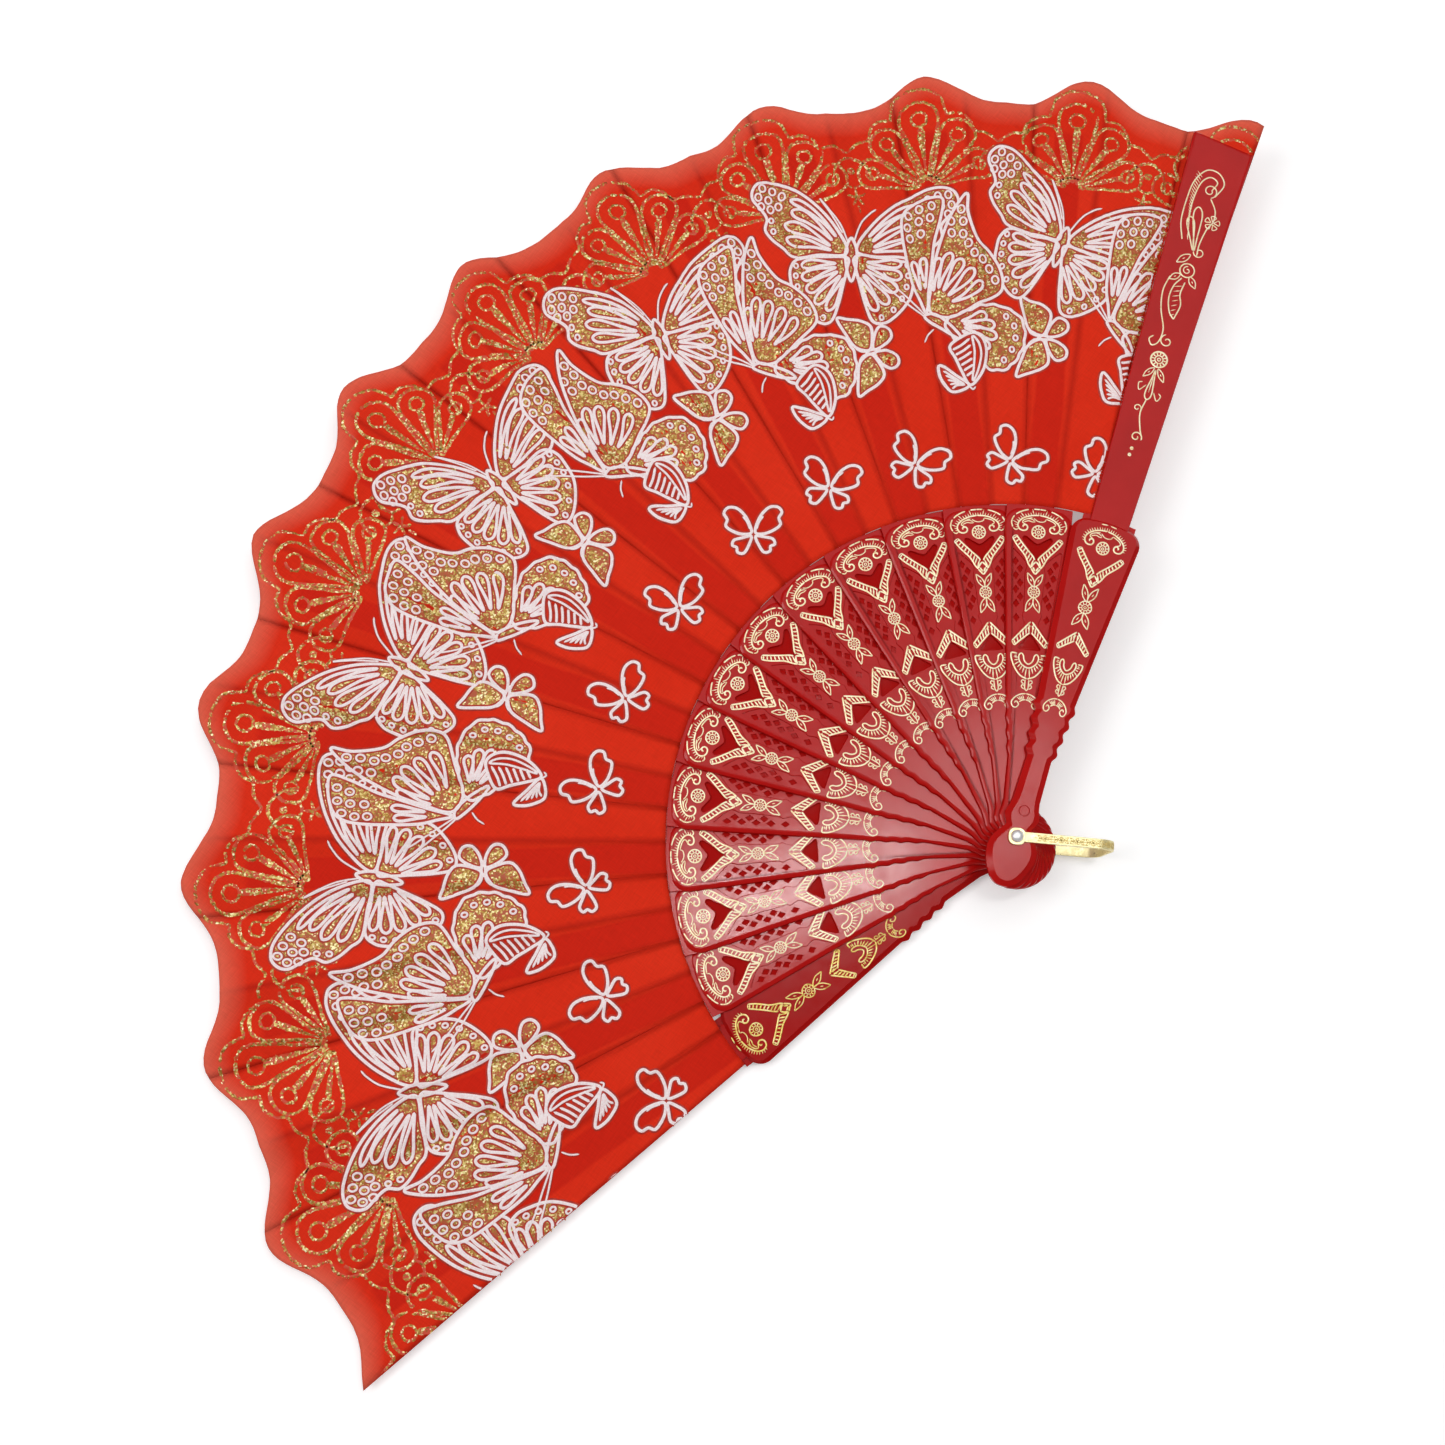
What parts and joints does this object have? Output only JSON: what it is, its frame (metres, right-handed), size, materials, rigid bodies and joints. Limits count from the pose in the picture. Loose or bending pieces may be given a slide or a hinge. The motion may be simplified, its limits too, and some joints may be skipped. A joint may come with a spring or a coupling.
{
  "type": "folding hand fan",
  "caption": "Folding hand fan with pocketed plastic blades on one rivet, a pleated scalloped cloth leaf and a swinging strap bail.",
  "frame": {"origin": "on the pivot axis, at the flat back of the rivet's cap", "axes": "+Z out of the front face along the rivet, +Y along the middle of the opening, +X towards the front guard"},
  "size_m": [0.4322, 0.2481, 0.0244],
  "materials": {
    "red_plastic": "glossy moulded red plastic with gold foil stamping",
    "red_cloth": "thin woven polyester, printed with raised white line and gold glitter",
    "silver": "polished",
    "gold": "embossed gilt strap"
  },
  "bodies": {
    "rear_guard": {"rear_guard": "red_plastic", "rivet_pin": "silver", "rivet_cap": "silver", "leaf_01": "red_cloth"},
    "stick_01": {"stick_01": "red_plastic", "leaf_02": "red_cloth"},
    "stick_02": {"stick_02": "red_plastic", "leaf_03": "red_cloth"},
    "stick_03": {"stick_03": "red_plastic", "leaf_04": "red_cloth"},
    "stick_04": {"stick_04": "red_plastic", "leaf_05": "red_cloth"},
    "stick_05": {"stick_05": "red_plastic", "leaf_06": "red_cloth"},
    "stick_06": {"stick_06": "red_plastic", "leaf_07": "red_cloth"},
    "stick_07": {"stick_07": "red_plastic", "leaf_08": "red_cloth"},
    "stick_08": {"stick_08": "red_plastic", "leaf_09": "red_cloth"},
    "stick_09": {"stick_09": "red_plastic", "leaf_10": "red_cloth"},
    "stick_10": {"stick_10": "red_plastic", "leaf_11": "red_cloth"},
    "stick_11": {"stick_11": "red_plastic", "leaf_12": "red_cloth"},
    "stick_12": {"stick_12": "red_plastic", "leaf_13": "red_cloth"},
    "front_guard": {"front_guard": "red_plastic"},
    "bail": {"bail": "gold"}
  },
  "joints": [
    {"name": "stick_01_hinge", "type": "hinge", "parent": "rear_guard", "child": "stick_01", "pos_m": [0, 0, 0], "axis": [0, 0, 1], "range_deg": [0, 11], "deforming": ["leaf_01"]},
    {"name": "stick_02_hinge", "type": "hinge", "parent": "stick_01", "child": "stick_02", "pos_m": [0, 0, 0], "axis": [0, 0, 1], "range_deg": [0, 11], "deforming": ["leaf_02"]},
    {"name": "stick_03_hinge", "type": "hinge", "parent": "stick_02", "child": "stick_03", "pos_m": [0, 0, 0], "axis": [0, 0, 1], "range_deg": [0, 11], "deforming": ["leaf_03"]},
    {"name": "stick_04_hinge", "type": "hinge", "parent": "stick_03", "child": "stick_04", "pos_m": [0, 0, 0], "axis": [0, 0, 1], "range_deg": [0, 11], "deforming": ["leaf_04"]},
    {"name": "stick_05_hinge", "type": "hinge", "parent": "stick_04", "child": "stick_05", "pos_m": [0, 0, 0], "axis": [0, 0, 1], "range_deg": [0, 11], "deforming": ["leaf_05"]},
    {"name": "stick_06_hinge", "type": "hinge", "parent": "stick_05", "child": "stick_06", "pos_m": [0, 0, 0], "axis": [0, 0, 1], "range_deg": [0, 11], "deforming": ["leaf_06"]},
    {"name": "stick_07_hinge", "type": "hinge", "parent": "stick_06", "child": "stick_07", "pos_m": [0, 0, 0], "axis": [0, 0, 1], "range_deg": [0, 11], "deforming": ["leaf_07"]},
    {"name": "stick_08_hinge", "type": "hinge", "parent": "stick_07", "child": "stick_08", "pos_m": [0, 0, 0], "axis": [0, 0, 1], "range_deg": [0, 11], "deforming": ["leaf_08"]},
    {"name": "stick_09_hinge", "type": "hinge", "parent": "stick_08", "child": "stick_09", "pos_m": [0, 0, 0], "axis": [0, 0, 1], "range_deg": [0, 11], "deforming": ["leaf_09"]},
    {"name": "stick_10_hinge", "type": "hinge", "parent": "stick_09", "child": "stick_10", "pos_m": [0, 0, 0], "axis": [0, 0, 1], "range_deg": [0, 11], "deforming": ["leaf_10"]},
    {"name": "stick_11_hinge", "type": "hinge", "parent": "stick_10", "child": "stick_11", "pos_m": [0, 0, 0], "axis": [0, 0, 1], "range_deg": [0, 11], "deforming": ["leaf_11"]},
    {"name": "stick_12_hinge", "type": "hinge", "parent": "stick_11", "child": "stick_12", "pos_m": [0, 0, 0], "axis": [0, 0, 1], "range_deg": [0, 11], "deforming": ["leaf_12"]},
    {"name": "front_guard_hinge", "type": "hinge", "parent": "stick_12", "child": "front_guard", "pos_m": [0, 0, 0], "axis": [0, 0, 1], "range_deg": [0, 12.1], "deforming": ["leaf_13"]},
    {"name": "bail_hinge", "type": "hinge", "parent": "rear_guard", "child": "bail", "pos_m": [0, 0, 0], "axis": [0, 0, 1], "range_deg": [-114, 54]}
  ],
  "couplings": [
    {"joint": "stick_02_hinge", "follows": "stick_01_hinge", "ratio": 1},
    {"joint": "stick_03_hinge", "follows": "stick_01_hinge", "ratio": 1},
    {"joint": "stick_04_hinge", "follows": "stick_01_hinge", "ratio": 1},
    {"joint": "stick_05_hinge", "follows": "stick_01_hinge", "ratio": 1},
    {"joint": "stick_06_hinge", "follows": "stick_01_hinge", "ratio": 1},
    {"joint": "stick_07_hinge", "follows": "stick_01_hinge", "ratio": 1},
    {"joint": "stick_08_hinge", "follows": "stick_01_hinge", "ratio": 1},
    {"joint": "stick_09_hinge", "follows": "stick_01_hinge", "ratio": 1},
    {"joint": "stick_10_hinge", "follows": "stick_01_hinge", "ratio": 1},
    {"joint": "stick_11_hinge", "follows": "stick_01_hinge", "ratio": 1},
    {"joint": "stick_12_hinge", "follows": "stick_01_hinge", "ratio": 1},
    {"joint": "front_guard_hinge", "follows": "stick_01_hinge", "ratio": 1.1}
  ]
}
